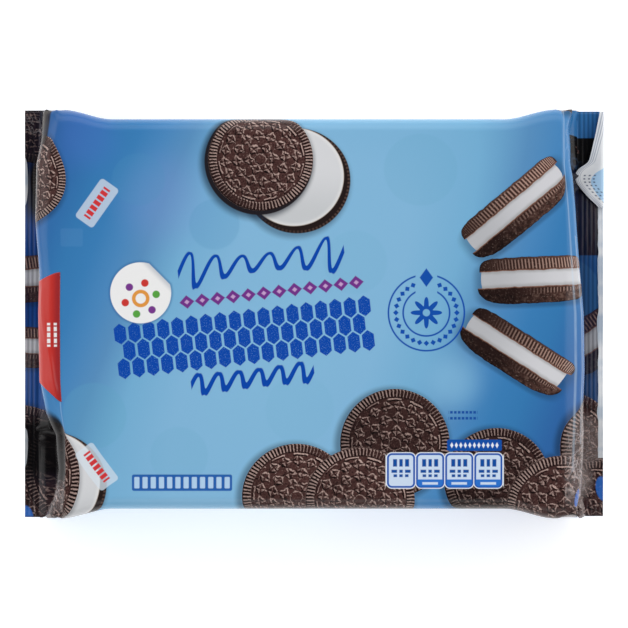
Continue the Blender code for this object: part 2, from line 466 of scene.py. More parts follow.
film = film_mesh("printed_film", film_rows, film_lengths)
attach(film, "root")
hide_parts("pack")


def film_point(along, across):
    """A point of the settled film from its place on the flat film, and the way out from it."""
    row = float(np.interp(along, net_lengths, np.arange(len(net))))
    i = min(int(row), len(net) - 2)
    column = across / THREAD
    j = math.floor(column)
    a, b = row - i, column - j
    corners = [net[i + p, (j + q) % COLUMNS] for p in (0, 1) for q in (0, 1)]
    point = ((1 - a) * (1 - b) * corners[0] + (1 - a) * b * corners[1]
             + a * (1 - b) * corners[2] + a * b * corners[3])
    out = np.cross(net[i + 1, j % COLUMNS] - net[i, j % COLUMNS],
                   net[i, (j + 1) % COLUMNS] - net[i, j % COLUMNS])
    return point, out / np.linalg.norm(out)


def thin_sheet(name, grid, normals, thickness, places):
    """A closed thin sheet from its outer face. Each corner carries its place in mm, with
    z 0 on the outer face, 1 on the back and 2 on the edge."""
    rows, columns = grid.shape[:2]
    count = rows * columns
    vertices = np.concatenate([grid.reshape(-1, 3), (grid - normals * thickness).reshape(-1, 3)])
    faces, film_places, bake = [], [], []
    for side in (0, 1):
        for i in range(rows - 1):
            for j in range(columns - 1):
                quad = [(i, j), (i, j + 1), (i + 1, j + 1), (i + 1, j)]
                if side:
                    quad = quad[::-1]
                faces.append([side * count + p * columns + q for p, q in quad])
                film_places += [(*places[p][q], side) for p, q in quad]
                bake += [(0.01 + 0.48 * q / (columns - 1) + 0.5 * side,
                          0.05 + 0.94 * p / (rows - 1)) for p, q in quad]
    border = [(0, j) for j in range(columns)] + [(i, columns - 1) for i in range(1, rows)]
    border += [(rows - 1, j) for j in range(columns - 2, -1, -1)]
    border += [(i, 0) for i in range(rows - 2, 0, -1)]
    for k, (p, q) in enumerate(border):
        r, s = border[(k + 1) % len(border)]
        near, far = p * columns + q, r * columns + s
        faces.append([near, near + count, far + count, far])
        film_places += [(*places[p][q], 2)] * 2 + [(*places[r][s], 2)] * 2
        u, v = 0.01 + 0.98 * k / len(border), 0.01 + 0.98 * (k + 0.9) / len(border)
        bake += [(u, 0.01), (u, 0.03), (v, 0.03), (v, 0.01)]
    mesh = bpy.data.meshes.new(name)
    mesh.from_pydata((vertices * MM).tolist(), [], faces)
    film_place = mesh.attributes.new("film", "FLOAT_VECTOR", "CORNER")
    film_place.data.foreach_set("vector", np.array(film_places, np.float32).ravel())
    uv = mesh.uv_layers.new(name="OFBake")
    uv.data.foreach_set("uv", np.array(bake, np.float32).ravel())
    mesh.shade_smooth()
    piece = bpy.data.objects.new(name, mesh)
    bpy.context.collection.objects.link(piece)
    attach(piece, "root")
    return piece


# ---- The back seam ----------------------------------------------------------------------
# The film's two long edges, sealed face to face between ribbed wheels into a standing
# seam, which is then folded flat against the pack's underside and runs under both ends.

SEAM_WIDTH = 12.0
SEAM_THICKNESS = 0.35
SEAM_RIBS = 8
SEAM_PAST_TRAY = 15.0               # how far it follows the film down each end
seam_rows = np.arange(-LEFT.tray - SEAM_PAST_TRAY, RIGHT.tray + SEAM_PAST_TRAY, 1.5)
seam_steps = np.linspace(-0.5, 0.5, 8 * SEAM_RIBS + 1)
seam_grid = np.zeros((len(seam_rows), len(seam_steps), 3))
seam_normals = np.zeros_like(seam_grid)
half_girth = COLUMNS * THREAD / 2
for i, along in enumerate(seam_rows):
    middle, out = film_point(along, half_girth)
    for j, step in enumerate(seam_steps):
        rib = 0.10 * math.cos(2 * math.pi * SEAM_RIBS * step)
        lift = 0.75 + 0.25 * math.sin(along / 7.0) * (0.5 + step) + rib
        seam_grid[i, j] = middle + out * lift + (0, step * SEAM_WIDTH, 0)
        seam_normals[i, j] = out
seam_grid[..., 2] = np.maximum(seam_grid[..., 2], 0.02)
seam_places = [[(along, step * SEAM_WIDTH) for step in seam_steps] for along in seam_rows]
back_seam = thin_sheet("back_seam", seam_grid[:, ::-1], seam_normals, SEAM_THICKNESS,
                       [row[::-1] for row in seam_places])
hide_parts("pack")

# ---- The folded corner ------------------------------------------------------------------
# Towards one corner of the right fin the film's cut edge has curled up and over, and lies
# on the fin with the film's white inner side showing.

CURL_OUTLINE = [(78.8, 0.3), (70.0, 2.0), (62.0, 3.8), (58.2, 4.8), (57.2, 6.4), (55.6, 8.7),
                (53.5, 9.9), (51.5, 10.2), (49.5, 9.2), (46.0, 6.0), (43.0, 2.6), (41.3, 0.2)]  # place across, reach back
CURL_RADIUS = 1.3
curl_steps = 56
curl_rows = 20
curl_places, curl_reaches = np.array(CURL_OUTLINE)[::-1].T
curl_grid = np.zeros((curl_rows + 1, curl_steps + 1, 3))
fin_tip = fin_sheet(RIGHT, RIGHT.run, fine_columns)
for j, y in enumerate(np.linspace(curl_places[0], curl_places[-1], curl_steps + 1)):
    window = np.linspace(y - 1.2, y + 1.2, 5)
    reach = float(np.interp(window, curl_places, curl_reaches).mean())
    tip = fin_tip[int(np.argmin(np.abs(fin_tip[:QUARTER, 1] - y)))]
    turn = math.pi * CURL_RADIUS
    for i in range(curl_rows + 1):
        along = (turn + reach) * i / curl_rows
        angle = min(along / CURL_RADIUS, math.pi)
        back = max(0.0, along - turn)
        buckle = 0.35 * math.sin(y / 2.6 + back / 2.0) * min(1.0, back / 3)
        curl_grid[i, j] = (CUT_EDGE - 0.15 - CURL_RADIUS * (1 - math.sin(angle)) - back,
                           y + 0.12 * back,
                           tip[2] + CURL_RADIUS * (1 - math.cos(angle)) + 0.06 * back + buckle)
curl_normals = np.cross(np.gradient(curl_grid, axis=1), np.gradient(curl_grid, axis=0))
curl_normals /= np.linalg.norm(curl_normals, axis=-1, keepdims=True) + 1e-9
curl_normals *= np.sign(curl_normals[-1, curl_steps // 2, 2])
curl_marks = [[(float(CUT_EDGE - curl_grid[-1, j, 0]) * (1 - i / curl_rows),
                float(curl_grid[i, j, 1])) for j in range(curl_steps + 1)]
              for i in range(curl_rows + 1)]   # to the curled edge, and across
folded_corner = thin_sheet("folded_corner", curl_grid, curl_normals, 0.12, curl_marks)
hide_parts("pack")

# ---- The pull tab -----------------------------------------------------------------------
# A red self-adhesive label that peels the pack open: it is stuck over the left end edge,
# from the printed face down the end, and has buckled a little with the film.

TAB_INNER_EDGE = -98.5              # along the film
TAB_LENGTH = 15.2                   # of label, over the edge
TAB_THICKNESS = 0.14
TAB_FACE_ENDS, TAB_LOW_ENDS = (-34.0, 16.2), (-26.5, 12.8)
tab_rows, tab_columns = 40, 100
tab_grid = np.zeros((tab_rows + 1, tab_columns + 1, 3))
tab_normals = np.zeros_like(tab_grid)
tab_places = []
for i in range(tab_rows + 1):
    share = i / tab_rows
    ease = float(smooth(share, 0, 0.75))
    low = TAB_FACE_ENDS[0] + (TAB_LOW_ENDS[0] - TAB_FACE_ENDS[0]) * ease
    high = TAB_FACE_ENDS[1] + (TAB_LOW_ENDS[1] - TAB_FACE_ENDS[1]) * ease
    tab_places.append([])
    for j in range(tab_columns + 1):
        across = low + (high - low) * j / tab_columns
        along = TAB_INNER_EDGE - TAB_LENGTH * share
        point, out = film_point(along, across)
        crease = share * TAB_LENGTH - 2.5 - 5.0 * float(smooth(across, -34, 6))
        edge = min(1.0, 8 * share, 8 * (1 - share), (across - low) / 5, (high - across) / 5)
        buckle = 0.45 * math.exp(-(crease / 1.1) ** 2) * max(0.0, edge)
        tab_grid[i, j] = point + out * (TAB_THICKNESS + 0.05 + buckle)
        tab_normals[i, j] = out
        tab_places[-1].append((share * TAB_LENGTH, across))
tab_grid[..., 2] = np.minimum(tab_grid[..., 2], cad_bounds[1][2] / MM)
pull_tab = thin_sheet("pull_tab_label", tab_grid, tab_normals, TAB_THICKNESS, tab_places)
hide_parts("pull_tab")

# ---- The print ------------------------------------------------------------------------
# Reverse gravure print on glossy biaxially oriented polypropylene (BOPP): the inks lie under
# the clear outer film, so the whole face has one even gloss. It shows a blue ground with a
# pale glow, printed biscuits, and plain ornaments. Places are in mm on the flat film, from
# the middle of the printed face, +X to the right and +Y up.

INK_EDGE = 0.14                     # how softly an ink ends


def linear(hex_colour):
    """An sRGB hex colour as linear light."""
    channels = [int(hex_colour[k:k + 2], 16) / 255 for k in (0, 2, 4)]
    return [c / 12.92 if c <= 0.04045 else ((c + 0.055) / 1.055) ** 2.4 for c in channels] + [1.0]


def node(tree, kind, *inputs, **settings):
    """Add a shader node: settings by name, then inputs in order, as links or as values. Gives
    back its first working output."""
    made = tree.nodes.new("ShaderNode" + kind)
    for name, value in settings.items():
        setattr(made, name, value)
    for socket, value in zip(made.inputs, inputs):
        if isinstance(value, bpy.types.NodeSocket):
            tree.links.new(value, socket)
        elif value is not None:
            socket.default_value = value
    return next(output for output in made.outputs if output.enabled)


OPERATIONS = {"Add": "ADD", "Sub": "SUBTRACT", "Mult": "MULTIPLY", "Div": "DIVIDE", "Pow": "POWER",
              "Lt": "LESS_THAN", "Gt": "GREATER_THAN", "abs": "ABSOLUTE", "sin": "SINE",
              "cos": "COSINE", "min": "MINIMUM", "max": "MAXIMUM", "round": "ROUND",
              "floor": "FLOOR", "atan2": "ARCTAN2", "sqrt": "SQRT", "asin": "ARCSINE"}


def formula(tree, text, **values):
    """Math nodes for a written formula, such as "abs(x) - width"."""
    def build(part):
        if isinstance(part, ast.Constant):
            return float(part.value)
        if isinstance(part, ast.Name):
            return values[part.id]
        if isinstance(part, ast.UnaryOp):
            return node(tree, "Math", build(part.operand), -1.0, operation="MULTIPLY")
        if isinstance(part, ast.BinOp):
            name, parts = type(part.op).__name__, (part.left, part.right)
        elif isinstance(part, ast.Compare):
            name, parts = type(part.ops[0]).__name__, (part.left, part.comparators[0])
        else:
            name, parts = part.func.id, part.args
        return node(tree, "Math", *[build(p) for p in parts], operation=OPERATIONS[name])
    return build(ast.parse(text).body[0].value)


def ramp(tree, value, low, high, at_low=0.0, at_high=1.0):
    """A smooth change from one number to another as the value rises."""
    return node(tree, "MapRange", value, low, high, at_low, at_high,
                interpolation_type="SMOOTHSTEP")


def inked(tree, outside):
    """1 where a shape's distance is inside its outline, 0 outside."""
    return node(tree, "MapRange", outside, -INK_EDGE, INK_EDGE, 1.0, 0.0)


def paint(tree, under, colour, mask):
    """Lay a colour, given as hex or as a link, over what is under it."""
    if isinstance(colour, str):
        colour = linear(colour)
    return node(tree, "MixRGB", mask, under, colour)


def colour_ramp(tree, value, reach, stops):
    """Colours blended along a value from 0 to `reach`."""
    made = tree.nodes.new("ShaderNodeValToRGB")
    elements = made.color_ramp.elements
    elements.remove(elements[1])
    for position, shade in stops:
        element = elements[0] if position == 0 else elements.new(position / reach)
        element.color = linear(shade)
    tree.links.new(formula(tree, "value / reach", value=value, reach=reach), made.inputs["Fac"])
    return made.outputs["Color"]


def around(tree, point, centre, turn=0.0, scale=1.0):
    """The point as seen from a centre, turned by `turn` degrees, in units of `scale` mm:
    the vector and its x and y."""
    vector = node(tree, "Mapping", point, (*centre, 0.0), (0, 0, math.radians(turn)),
                  (scale, scale, 1.0), vector_type="TEXTURE")
    split = node(tree, "SeparateXYZ", vector).node.outputs
    return vector, split[0], split[1]


def box_distance(tree, x, y, half_x, half_y, corner=0.0):
    """Distance from a box with rounded corners."""
    return formula(tree, "sqrt(max(abs(x) - a + r, 0) ** 2 + max(abs(y) - b + r, 0) ** 2) - r",
                   x=x, y=y, a=half_x, b=half_y, r=max(corner, 0.01))


printed = bpy.data.materials.new("gravure_printed_bopp_film")
printed.use_nodes = True
ink = printed.node_tree
gloss = ink.nodes["Principled BSDF"]
film_place = node(ink, "Attribute", attribute_name="film").node.outputs["Vector"]
place = node(ink, "VectorMath", film_place, (1.0, 1.0, 0.0), operation="MULTIPLY")
along, across, cut_edge = node(ink, "SeparateXYZ", film_place).node.outputs

# The blue ground: a pale glow slanting up the face, deep blue at both ends
GLOW_CENTRE = (-10.0, -11.5)
GLOW_TILT = 69.0
GLOW_HALF_LENGTH, GLOW_HALF_WIDTH = 217.0, 93.0
_, lengthwise, sideways = around(ink, place, GLOW_CENTRE, GLOW_TILT)
glow = formula(ink, "((abs(u) / a) ** 3.4 + (abs(v) / b) ** 3.4) ** 0.294",
               u=lengthwise, v=sideways, a=GLOW_HALF_LENGTH, b=GLOW_HALF_WIDTH)
colour = colour_ramp(ink, glow, 1.6, [
    (0.0, "87bddf"), (0.35, "85bade"), (0.55, "77b2d8"), (0.70, "5b92c2"), (0.80, "4c8ac1"),
    (0.90, "3c80ba"), (1.0, "377bb5"), (1.15, "3168a8"), (1.45, "234f86")])

# Soft patches and round spots in the ground: (centre, radius, softness, colour, strength)
GROUND_SPOTS = [
    ((-57.0, 44.0), 4.0, 22.0, "809bd8", 0.30),
    ((53.0, -26.0), 2.0, 15.0, "8cc4e6", 0.60),
    ((-88.0, 68.0), 4.0, 14.0, "4a78c8", 0.40),
    ((41.3, 56.2), 14.0, 0.8, "5ca2c0", 0.13),
    ((-38.6, 34.7), 9.5, 0.8, "5796c4", 0.26),
    ((-67.9, 52.3), 10.0, 0.8, "4f94c0", 0.20),
    ((-85.4, -39.4), 12.5, 0.8, "63a8c8", 0.26),
    ((-52.3, -55.0), 11.0, 0.8, "63a8c8", 0.14),
    ((-5.5, -37.0), 13.0, 0.8, "6aacca", 0.09),
    ((16.0, 20.0), 12.0, 0.8, "6aacca", 0.12),
    ((118.0, 8.0), 13.0, 0.8, "5a97c8", 0.22),
    ((-30.0, 92.0), 12.0, 0.8, "8fc6e4", 0.18),
    ((52.0, -98.0), 14.0, 0.8, "8fc6e4", 0.15),
]
for centre, radius, softness, shade, strength in GROUND_SPOTS:
    away = node(ink, "VectorMath", place, (*centre, 0), operation="DISTANCE")
    colour = paint(ink, colour, shade, ramp(ink, away, radius - 0.3, radius + softness,
                                            strength, 0.0))
# Painted shade: the ground is darkened over the left seal, where the film lies in shade. A faint pale patch lies
# beside the tab
colour = paint(ink, colour, "063a92", ramp(ink, along, -LEFT.tray - 14, -LEFT.tray - 4, 0.6, 0.0))
patch = box_distance(ink, formula(ink, "x + 93.8", x=along), formula(ink, "y - 29.6", y=across), 4.2, 3.4, 0.8)
colour = paint(ink, colour, "86b4e4", ramp(ink, patch, -0.3, 0.5, 0.08, 0.0))

BISCUIT = 21.3                      # radius of a printed biscuit
LIGHT_SIDE = (0.55, 0.83)           # towards the light in the printed pictures


def soft_shadow(tree, under, centre, radius, darkness=0.5):
    """The soft shadow that a printed biscuit throws, down and to the left."""
    away = node(tree, "VectorMath", place, (centre[0] - 0.9, centre[1] - 1.0, 0),
                operation="DISTANCE")
    return paint(tree, under, "1c2c40", ramp(tree, away, radius - 0.6, radius + 2.6, darkness, 0.0))


# Open halves with their cream: a toothed dark rim round a pale disc
for centre in ((-6.6, 51.9), (-101.0, -66.5)):
    colour = soft_shadow(ink, colour, centre, 20.7)
    _, x, y = around(ink, place, centre)
    radius = formula(ink, "sqrt(x * x + y * y)", x=x, y=y)
    angle = formula(ink, "atan2(y, x)", x=x, y=y)
    teeth = formula(ink, "0.5 + 0.5 * sin(angle * 84)", angle=angle)
    rim = paint(ink, linear("241a19"), "5c4740",
                formula(ink, "teeth * (r > 19.6) * (0.45 + 0.4 * x / 21)", teeth=teeth, r=radius, x=x))
    colour = paint(ink, colour, rim, inked(ink, formula(ink, "r - 20.7", r=radius)))
    _, x, y = around(ink, place, (centre[0] - 1.2, centre[1] + 1.5))
    cream_radius = formula(ink, "sqrt(x * x + y * y)", x=x, y=y)
    cream = paint(ink, linear("d9dadd"), "c2c5c8", ramp(ink, y, 4.0, -16.0, 0.0, 0.7))
    cream = paint(ink, cream, "ecebea", ramp(ink, cream_radius, 17.6, 19.0, 0.0, 0.5))
    cream = paint(ink, cream, "b79a7c", ramp(ink, cream_radius, 19.0, 19.4, 0.0, 0.6))
    colour = paint(ink, colour, cream, inked(ink, formula(ink, "r - 19.4", r=cream_radius)))

# Sandwich biscuits seen from the side: a thin upper half, the cream, and a lower half
# that turns its face towards us: (centre, turn, half length, half thickness, brightness)
SIDE_VIEWS = [
    ((78.6, 40.6), 39.5, 23.2, 8.6, 0.62),
    ((84.8, 13.2), 2.5, 20.6, 9.0, 0.52),
    ((77.8, -15.0), -32.4, 22.0, 8.7, 0.42),
    ((-140.0, 12.6), 4.0, 20.9, 8.9, 0.45),
    ((-140.0, -12.3), -3.0, 20.9, 7.8, 0.40),
    ((133.0, -8.0), 31.0, 20.9, 10.2, 0.45),
]
UPPER_EDGE, LOWER_EDGE = 0.42, -0.27    # of the cream, in half thicknesses
side_vector = (9.0, 9.0, 0.0, 1.0)
for centre, turn, half_length, half, light in SIDE_VIEWS:
    vector = node(ink, "Mapping", place, (*centre, -light), (0, 0, math.radians(turn)),
                  (half_length, half, 1.0), vector_type="TEXTURE")
    u, v = node(ink, "SeparateXYZ", vector).node.outputs[:2]
    reach = formula(ink, "(u ** 4 + v ** 4) ** 0.25", u=formula(ink, "abs(u + 0.01)", u=u),
                    v=formula(ink, "abs(v + 0.10)", v=v))
    colour = paint(ink, colour, "1b3350", ramp(ink, reach, 0.98, 1.18, 0.45, 0.0))
    near = formula(ink, "(abs(u) < 1.06) * (abs(v) < 1.02)", u=u, v=v)
    side_vector = node(ink, "MixRGB", near, side_vector, vector)
u, v, light = node(ink, "SeparateXYZ", side_vector).node.outputs
on_side = node(ink, "VectorMath", side_vector, (21.0, 8.5, 40.0), operation="MULTIPLY")
wobble = node(ink, "TexNoise", on_side, None, 0.35, 2.0, 0.5)
v = formula(ink, "v + 0.10 * (n - 0.5)", v=v, n=wobble)
is_upper = formula(ink, "v > 0.05", v=v)
upper = formula(ink, "(v - e) / (1 - e)", v=v, e=UPPER_EDGE)
lower = formula(ink, "(e - v) / (1 + e)", v=v, e=LOWER_EDGE)
layer = formula(ink, "a * i + b * (1 - i)", a=upper, b=lower, i=is_upper)
outline = formula(ink, "(abs(u) / (1.045 - 0.045 * i)) ** (4.5 + 3 * i) + max(t, 0) ** (2.0 + i) - 1",
                  u=u, t=layer, i=is_upper)
biscuit_part = formula(ink, "(t > 0) * (e < 0)", t=layer, e=outline)
cream_part = formula(ink, "(t < 0.03) * (abs(u + 0.01) < 0.965 - 0.12 * (v - 0.08) ** 2)", t=layer, u=u, v=v)
ridge = formula(ink, "sin(96 * asin(min(max(u + 0.02 * t, -0.98), 0.98)))", u=u, t=layer)
band = formula(ink, "0.86 - 0.40 * (1 - i) - 0.25 * u * u * (1 - i)", i=is_upper, u=u)
ridge_zone = formula(ink, "s * (1 - m)", s=ramp(ink, layer, 0.08, 0.16),
                     m=ramp(ink, formula(ink, "t - b", t=layer, b=band), -0.08, 0.04))
crumbs = node(ink, "TexNoise", on_side, None, 1.5, 4.0, 0.65)
lumps = node(ink, "TexNoise", on_side, None, 0.65, 2.0, 0.5)
face_part = ramp(ink, formula(ink, "(t - b) * (1 - i)", t=layer, b=band, i=is_upper), 0.0, 0.05)
tone = formula(ink, "max(0, min(1, light + 0.52 * u + 0.36 * i - 0.32))", light=light, u=u, i=is_upper)
lit_ridges = ramp(ink, tone, 0.06, 0.42)
wafer = paint(ink, linear("241614"), "664840", tone)
wafer = paint(ink, wafer, "c9a698", formula(ink, "max(0, r * z * l * (0.04 + 0.9 * tone))",
                                            r=ridge, z=ridge_zone, tone=tone, l=lit_ridges))
wafer = paint(ink, wafer, "150e0d", formula(ink, "max(0, -r * z * l * 0.75)", r=ridge, z=ridge_zone,
                                            l=lit_ridges))
wafer = paint(ink, wafer, "8c7468", formula(ink, "f * l * (0.2 + tone)", f=face_part, tone=tone,
                                            l=ramp(ink, lumps, 0.54, 0.66, 0.0, 0.4)))
wafer = paint(ink, wafer, "140d0c", formula(ink, "f * l", f=face_part,
                                            l=ramp(ink, lumps, 0.52, 0.40, 0.0, 0.5)))
wafer = paint(ink, wafer, "b39a8d", formula(ink, "c * (0.3 + tone)", tone=tone,
                                            c=ramp(ink, crumbs, 0.57, 0.72, 0.0, 0.7)))
wafer = paint(ink, wafer, "140d0c", ramp(ink, crumbs, 0.42, 0.30, 0.0, 0.6))
wafer = paint(ink, wafer, "9c6f5c", ramp(ink, layer, 0.09, 0.02, 0.0, 0.6))
wafer = paint(ink, wafer, "120c0c", ramp(ink, outline, -0.14, -0.02, 0.0, 0.75))
cream = paint(ink, linear("b8b9bd"), "d5d5d9", ramp(ink, u, -0.8, 0.7))
cream = paint(ink, cream, "8f8d8c", ramp(ink, layer, -0.28, 0.02, 0.0, 0.6))
colour = paint(ink, colour, cream, cream_part)
colour = paint(ink, colour, wafer, biscuit_part)

# Whole biscuits seen from above, from the lowest to the topmost: (centre, radius, brightness)
TOP_FACE = (-20.6, 60.3)
FACE_VIEWS = [
    ((107.5, 97.6), BISCUIT, 0.50), ((-127.5, 80.0), BISCUIT, 0.20),
    ((-113.2, 51.8), 17.3, 0.60), ((-134.0, -55.0), BISCUIT, 0.30), ((-126.0, -79.0), BISCUIT, 0.35),
    ((-111.8, -62.0), BISCUIT, 0.40), (TOP_FACE, 20.4, 0.62), ((31.4, -50.2), BISCUIT, 0.30),
    ((-6.6, -71.4), BISCUIT, 0.60), ((17.9, -72.9), BISCUIT, 0.55), ((71.0, -64.7), 20.7, 0.22),
    ((117.4, -51.8), 22.2, 0.42), ((130.0, -80.0), BISCUIT, 0.40),
    ((95.9, -75.7), BISCUIT, 0.50),
]
# The one at the top is tilted, and its dark side shows below and to the left
TILTED = (-21.4, 59.4)
colour = soft_shadow(ink, colour, TILTED, 21.0, 0.55)
away = node(ink, "VectorMath", place, (*TILTED, 0), operation="DISTANCE")
colour = paint(ink, colour, "2a1f1c", inked(ink, formula(ink, "d - 21.0", d=away)))
face_vector = (3.0, 0.0, 0.0, 1.0)
shade = 0.0
for centre, radius, light in FACE_VIEWS:
    away = node(ink, "VectorMath", place, (*centre, 0), operation="DISTANCE")
    mask = inked(ink, formula(ink, "d - r", d=away, r=radius))
    thrown = node(ink, "VectorMath", place, (centre[0] - 1.0, centre[1] - 0.6, 0),
                  operation="DISTANCE")
    thrown = ramp(ink, thrown, radius - 0.3, radius + 2.8, 0.55, 0.0)
    shade = formula(ink, "(1 - m) * max(s, t)", m=mask, s=shade, t=thrown)
    vector = node(ink, "Mapping", place, (*centre, -light), (0, 0, 0),
                  (radius, radius, 1.0), vector_type="TEXTURE")
    face_vector = node(ink, "MixRGB", mask, face_vector, vector)


def relief(tree, x, y, spin):
    """Height of a biscuit's moulded face: a toothed rim, a dashed ring, and rings of small
    lozenges, each with a cross pressed into it."""
    r = formula(tree, "sqrt(x * x + y * y)", x=x, y=y)
    angle = formula(tree, "atan2(y, x) + s", x=x, y=y, s=spin)
    tooth = ramp(tree, formula(tree, "sin(angle * 92)", angle=angle), -0.5, 0.5, 0.0, 1.1)
    rim = formula(tree, "tooth * (r > 0.845) * (r < 0.985)", tooth=tooth, r=r)
    dashes = formula(tree, "1.2 * (abs(r - 0.80) < 0.015) * (sin(angle * 12) > -0.35)",
                     r=r, angle=angle)
    ring = formula(tree, "round(r / 0.228)", r=r)
    sector = formula(tree, "angle * 6 * ring / 6.2832", angle=angle, ring=ring)
    a = formula(tree, "(s - round(s)) * 0.239", s=sector)
    b = formula(tree, "r - ring * 0.228", r=r, ring=ring)
    lozenge = formula(tree, "abs(a) + abs(b)", a=a, b=b)
    raised = ramp(tree, lozenge, 0.096, 0.116, 1.3, 0.0)
    cross = ramp(tree, formula(tree, "min(abs(a), abs(b))", a=a, b=b), 0.009, 0.024, 1.1, 0.0)
    cross = formula(tree, "max(c, v)", c=cross, v=ramp(
        tree, formula(tree, "abs(l - 0.060)", l=lozenge), 0.004, 0.012, 0.6, 0.0))
    field = formula(tree, "(raised - cross) * (r < 0.775)", raised=raised, cross=cross, r=r)
    return formula(tree, "rim + dashes + field", rim=rim, dashes=dashes, field=field)


light = node(ink, "SeparateXYZ", face_vector).node.outputs[2]
on_biscuit = node(ink, "VectorMath", face_vector, (BISCUIT, BISCUIT, 60.0), operation="MULTIPLY")
roughness = node(ink, "TexNoise", on_biscuit, None, 0.55, 2.0, 0.5).node.outputs["Color"]
jitter = node(ink, "VectorMath", node(ink, "VectorMath", roughness, (0.5, 0.5, 0.5),
                                      operation="SUBTRACT"), (0.085, 0.085, 0.0), operation="MULTIPLY")
from_middle = node(ink, "VectorMath", node(ink, "VectorMath", face_vector, (1.0, 1.0, 0.0),
                                           operation="MULTIPLY"), operation="LENGTH").node
calm = ramp(ink, from_middle.outputs["Value"], 0.74, 0.82, 1.0, 0.3)
jitter = node(ink, "VectorMath", jitter, node(ink, "CombineXYZ", calm, calm, calm),
              operation="MULTIPLY")
x, y, _ = node(ink, "SeparateXYZ", node(ink, "VectorMath", face_vector, jitter,
                                        operation="ADD")).node.outputs
spin = formula(ink, "light * 37", light=light)
STEP = 0.014
lit = relief(ink, formula(ink, "x - d", x=x, d=STEP * LIGHT_SIDE[0]),
             formula(ink, "y - d", y=y, d=STEP * LIGHT_SIDE[1]), spin)
unlit = relief(ink, formula(ink, "x + d", x=x, d=STEP * LIGHT_SIDE[0]),
               formula(ink, "y + d", y=y, d=STEP * LIGHT_SIDE[1]), spin)
slope = formula(ink, "lit - unlit", lit=lit, unlit=unlit)
r = formula(ink, "sqrt(x * x + y * y)", x=x, y=y)
crumbs = node(ink, "TexNoise", on_biscuit, None, 1.5, 3.0, 0.65)
patches = node(ink, "TexNoise", on_biscuit, None, 0.22, 2.0, 0.5)
facing = formula(ink, "0.5 * x + 0.7 * y + 3 * (p - 0.5)", x=x, y=y, p=patches)
biscuit = paint(ink, linear("251716"), "563936",
                formula(ink, "max(0, min(1, light * 1.25 + 0.22 * f - 0.1))", light=light, f=facing))
biscuit = paint(ink, biscuit, "170f0f", ramp(ink, r, 0.80, 0.835, 0.0, 0.3))
strength = formula(ink, "0.30 + 0.9 * light + 0.22 * f", light=light, f=facing)
biscuit = paint(ink, biscuit, "c3a89f", formula(ink, "max(0, min(1, s * k * 0.8))",
                                                s=slope, k=strength))
biscuit = paint(ink, biscuit, "0b0707", formula(ink, "max(0, min(0.9, s * -0.8))", s=slope))
biscuit = paint(ink, biscuit, "b89c92",
                formula(ink, "c * k", c=ramp(ink, crumbs, 0.58, 0.78, 0.0, 0.75), k=strength))
biscuit = paint(ink, biscuit, "120b0b", ramp(ink, crumbs, 0.48, 0.34, 0.0, 0.75))
biscuit = paint(ink, biscuit, "150e0e", ramp(ink, r, 0.97, 1.0, 0.0, 0.75))
colour = paint(ink, colour, "151c28", shade)
colour = paint(ink, colour, biscuit, formula(ink, "r < 1.02", r=r))

# The title's place: plain ornaments in the same inks, all set on one slant
NAVY, PURPLE = "0b47ab", "74348a"
_, u, w = around(ink, place, (-27.0, -9.0), 6.6)
CELL_PITCH, CELL_ROW = 5.6, 6.75    # of the long six-sided cells
cell = "max(max(abs(dx) - 2.32, 0.75 * abs(dx) + abs(dy) - 4.05), abs(u) - end)"
middle_row = formula(ink, cell, dx=formula(ink, "u - round(u / p) * p", u=u, p=CELL_PITCH), dy=w,
                     u=u, end=8.5 * CELL_PITCH)
outer_rows = formula(ink, cell, dx=formula(ink, "u - (floor(u / p) + 0.5) * p", u=u, p=CELL_PITCH),
                     dy=formula(ink, "abs(w) - row", w=w, row=CELL_ROW), u=u, end=9 * CELL_PITCH)
cells = formula(ink, "min(a, b)", a=middle_row, b=outer_rows)
wear = node(ink, "TexNoise", place, None, 2.2, 4.0, 0.7)
worn = ramp(ink, wear, 0.56, 0.66, 1.0, 0.35)
colour = paint(ink, colour, NAVY, formula(ink, "m * worn", m=inked(ink, cells), worn=worn))

LOZENGE_PITCH = 6.0
row_u = formula(ink, "u - 12.5", u=u)
row_w = formula(ink, "w - 16.1", w=w)
step = formula(ink, "u - (floor(u / p) + 0.5) * p", u=row_u, p=LOZENGE_PITCH)
lozenges = formula(ink, "max((abs(step) / 2.9 + abs(w) / 2.6 - 1) * 1.9, abs(u) - 36)",
                   step=step, w=row_w, u=row_u)
colour = paint(ink, colour, PURPLE, inked(ink, lozenges))
seed = formula(ink, "(abs(step) / 1.0 + abs(w) / 0.9 - 1) * 0.6", step=step, w=row_w)
colour = paint(ink, colour, "c9a2d0", inked(ink, formula(ink, "max(s, abs(u) - 36)", s=seed, u=row_u)))
for centre, reach, length, height, swell_ends, stroke in (
        ((9.8, 28.2), 32.5, 10.6, 2.9, 5.2, 1.5), ((1.4, -15.9), 24.0, 7.9, 2.7, 0.9, 1.9)):
    wave_u = formula(ink, "u - c", u=u, c=centre[0])
    size = formula(ink, "h + k * (u / reach) ** 2", h=height, k=swell_ends, u=formula(
        ink, "abs(u)", u=wave_u), reach=reach)
    phase = formula(ink, "6.2832 * (u - 0.35 * (w - c)) / l", u=wave_u, w=w, c=centre[1], l=length)
    off = formula(ink, "abs(w - c - size * sin(phase))", w=w, c=centre[1], size=size, phase=phase)
    steep = formula(ink, "size * cos(phase) * 6.2832 / l", size=size, phase=phase, l=length)
    line = formula(ink, "off / sqrt(1 + steep * steep) - half * (1 + 0.3 * cos(phase + 1))",
                   off=off, steep=steep, half=stroke / 2, phase=phase)
    colour = paint(ink, colour, NAVY, inked(ink, formula(ink, "max(line, abs(u) - reach)",
                                                         line=line, u=wave_u, reach=reach)))

